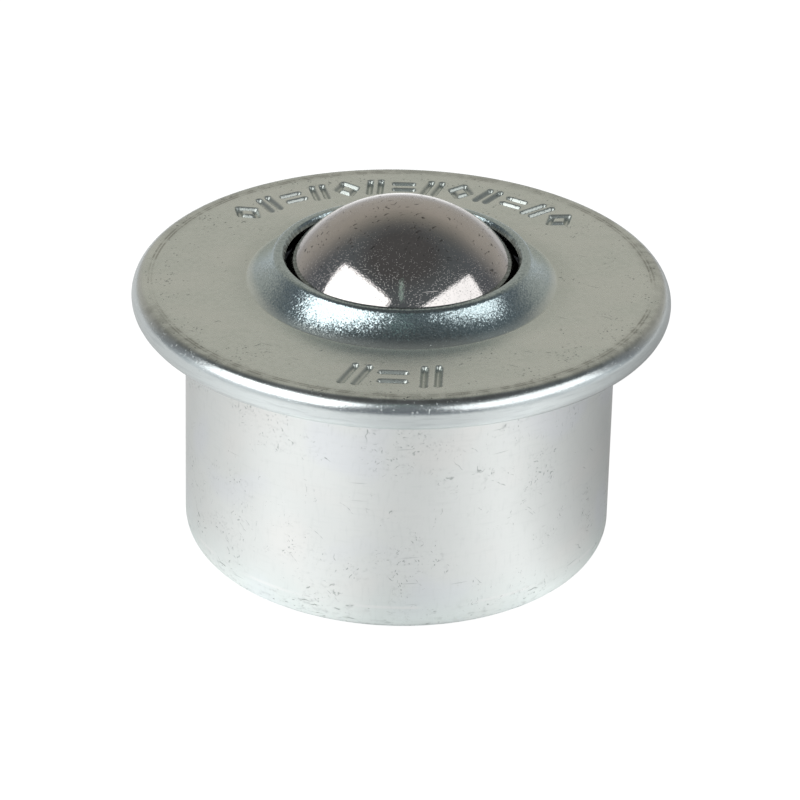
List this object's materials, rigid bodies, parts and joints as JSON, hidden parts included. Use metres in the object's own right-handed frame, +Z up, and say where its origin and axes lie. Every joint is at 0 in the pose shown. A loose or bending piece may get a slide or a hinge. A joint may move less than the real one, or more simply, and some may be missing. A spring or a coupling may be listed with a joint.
{
  "type": "ball transfer unit",
  "caption": "Flanged ball transfer unit: a captive steel ball in a pressed steel housing rolls any way on a bed of small balls, so goods can be pushed over it in every direction.",
  "frame": {"origin": "centre of the housing's flat base, which is where the unit stands", "axes": "+Z up along the unit's axis, from the base towards the load ball; X and Y are alike, because the unit is round"},
  "size_m": [0.045, 0.045, 0.0307],
  "materials": {
    "housing_steel": "bright zinc plate on drawn sheet, with fine scratches",
    "cover_steel": "satin zinc plate on pressed sheet",
    "hardened_steel": "turned and hardened, lightly oiled",
    "ball_steel": "polished bearing steel",
    "support_ball_steel": "polished bearing steel"
  },
  "bodies": {
    "housing": {"housing_cup": "housing_steel", "cover": "cover_steel", "load_seat": "hardened_steel", "retaining_ring": "hardened_steel"},
    "ball_bed": {"support_ball_bottom": "support_ball_steel", "support_balls_row_1": "support_ball_steel", "support_balls_row_2": "support_ball_steel", "support_balls_row_3": "support_ball_steel", "support_balls_row_4": "support_ball_steel", "support_balls_row_5": "support_ball_steel", "support_balls_row_6": "support_ball_steel"},
    "load_ball": {"load_ball": "ball_steel"}
  },
  "joints": [
    {"name": "bed_turn", "type": "hinge", "parent": "housing", "child": "ball_bed", "pos_m": [0, 0, 0.01961], "axis": [0, 0, 1], "continuous": true},
    {"name": "ball_roll", "type": "hinge", "parent": "ball_bed", "child": "load_ball", "pos_m": [0, 0, 0.01961], "axis": [1, 0, 0], "continuous": true}
  ]
}
